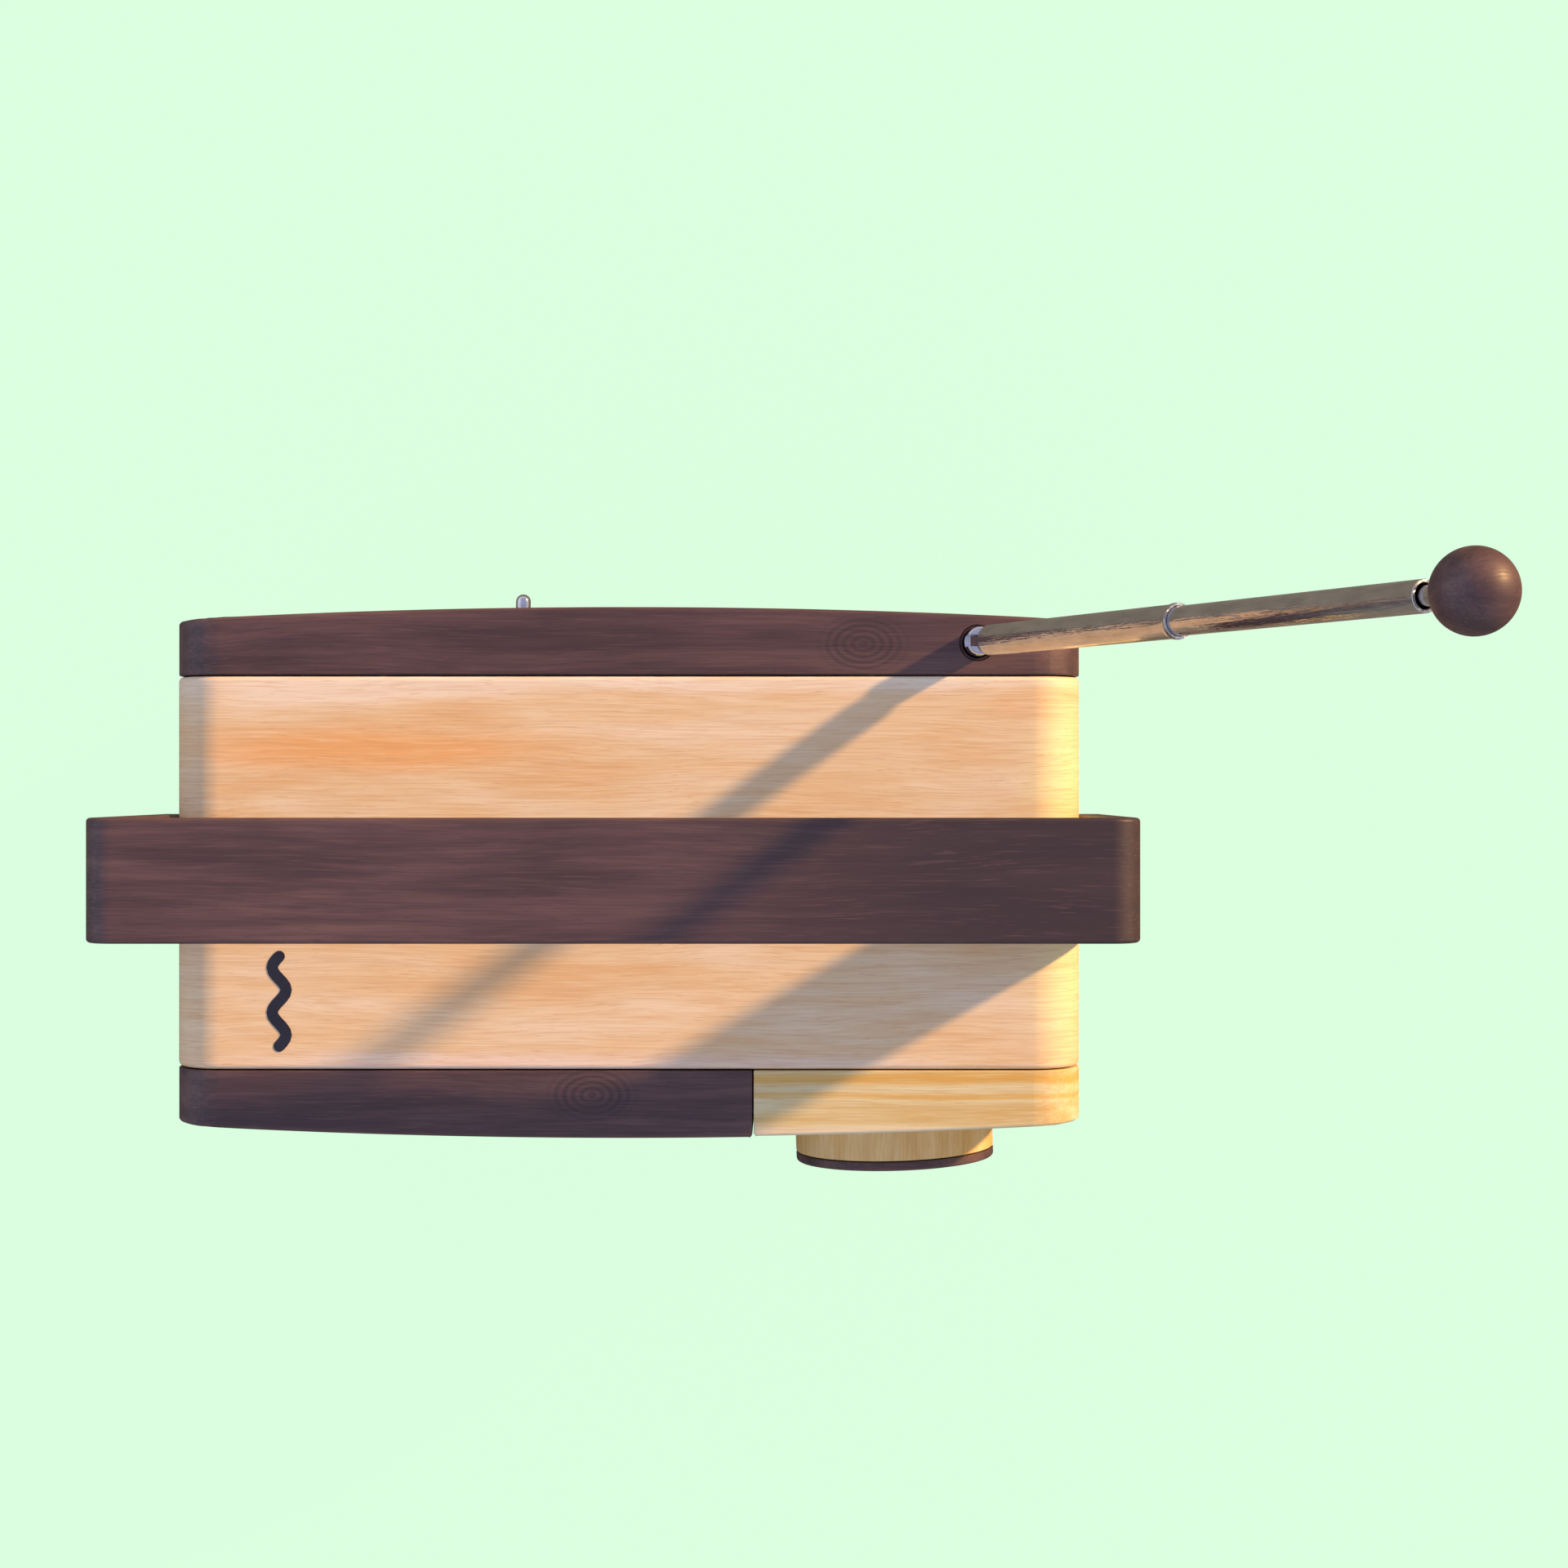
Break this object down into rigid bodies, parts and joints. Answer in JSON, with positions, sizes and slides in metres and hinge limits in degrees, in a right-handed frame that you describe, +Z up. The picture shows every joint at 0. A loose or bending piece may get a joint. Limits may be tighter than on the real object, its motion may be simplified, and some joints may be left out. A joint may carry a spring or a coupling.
{
  "type": "portable radio",
  "caption": "Wooden portable radio: wrap-round light shell, bowed dark boards, bail handle, telescopic antenna with a ball tip, one large front knob and a rear toggle switch.",
  "frame": {"origin": "middle of the base pad's underside, on the surface that the radio stands on", "axes": "+Z up; -Y is the front, with the grille and knob; +X is the right-hand end, where the antenna stands"},
  "size_m": [0.2897, 0.1532, 0.3058],
  "materials": {
    "light_wood": "oiled, fine grain, pale and orange streaks",
    "yellow_wood": "oiled, fine straight grain",
    "dark_wood": "oiled walnut, fine grain",
    "inlay": "matte, dark blue-black",
    "chrome": "polished",
    "brass": "satin",
    "steel": "plain sheet and turned steel",
    "rubber": "matte",
    "cloth": "plain woven speaker cloth",
    "paper": "pressed paper pulp",
    "plastic": "moulded",
    "circuit": "solder-masked board",
    "cell": "plain wrapped cells"
  },
  "bodies": {
    "cabinet": {"shell": "light_wood", "mark_inlay": "inlay", "rear_panel": "dark_wood", "front_panel_dark": "dark_wood", "front_panel_light": "yellow_wood", "base_pad": "rubber", "handle_pin_left": "brass", "handle_pin_right": "brass", "volume_control": "steel", "volume_nut": "steel", "toggle_switch": "steel", "toggle_nut": "steel", "antenna_socket": "brass", "speaker_cloth": "cloth", "speaker_frame": "steel", "speaker_cone": "paper", "speaker_magnet": "steel", "circuit_board": "circuit", "tuner_can": "steel", "battery_tray": "plastic", "rear_screw_1": "brass", "speaker_screw_1": "steel", "battery_cell_1": "cell", "rear_screw_2": "brass", "speaker_screw_2": "steel", "battery_cell_2": "cell", "rear_screw_3": "brass", "speaker_screw_3": "steel", "battery_cell_3": "cell", "rear_screw_4": "brass", "speaker_screw_4": "steel", "battery_cell_4": "cell"},
    "handle": {"handle": "dark_wood"},
    "knob": {"knob_body": "yellow_wood", "knob_cap": "dark_wood", "knob_pointer": "brass", "knob_shaft": "steel"},
    "toggle": {"toggle_lever": "chrome"},
    "antenna_swivel": {"antenna_clevis": "chrome", "antenna_pin": "steel"},
    "antenna_outer": {"antenna_tube_1": "chrome"},
    "antenna_middle": {"antenna_tube_2": "chrome"},
    "antenna_inner": {"antenna_tube_3": "chrome", "antenna_ball": "dark_wood"}
  },
  "joints": [
    {"name": "handle_fold", "type": "hinge", "parent": "cabinet", "child": "handle", "pos_m": [0, 0, 0.119], "axis": [1, 0, 0], "range_deg": [-28, 62]},
    {"name": "knob_turn", "type": "hinge", "parent": "cabinet", "child": "knob", "pos_m": [0.0681, -0.06392, 0.069], "axis": [0.0346, -0.9994, 0], "range_deg": [-150, 150]},
    {"name": "toggle_flip", "type": "hinge", "parent": "cabinet", "child": "toggle", "pos_m": [-0.0322, 0.06284, 0.069], "axis": [1, 0, 0], "range_deg": [0, 24]},
    {"name": "antenna_turn", "type": "hinge", "parent": "cabinet", "child": "antenna_swivel", "pos_m": [0.086, 0.05626, 0.134], "axis": [0, 0, 1], "continuous": true},
    {"name": "antenna_tilt", "type": "hinge", "parent": "antenna_swivel", "child": "antenna_outer", "pos_m": [0.086, 0.05626, 0.1412], "axis": [0, 1, 0], "range_deg": [-114, 64]},
    {"name": "middle_slide", "type": "slide", "parent": "antenna_outer", "child": "antenna_middle", "axis": [0.4384, 0, 0.8988], "range_m": [-0.066, 0]},
    {"name": "inner_slide", "type": "slide", "parent": "antenna_middle", "child": "antenna_inner", "axis": [0.4384, 0, 0.8988], "range_m": [0, 0.07]}
  ]
}
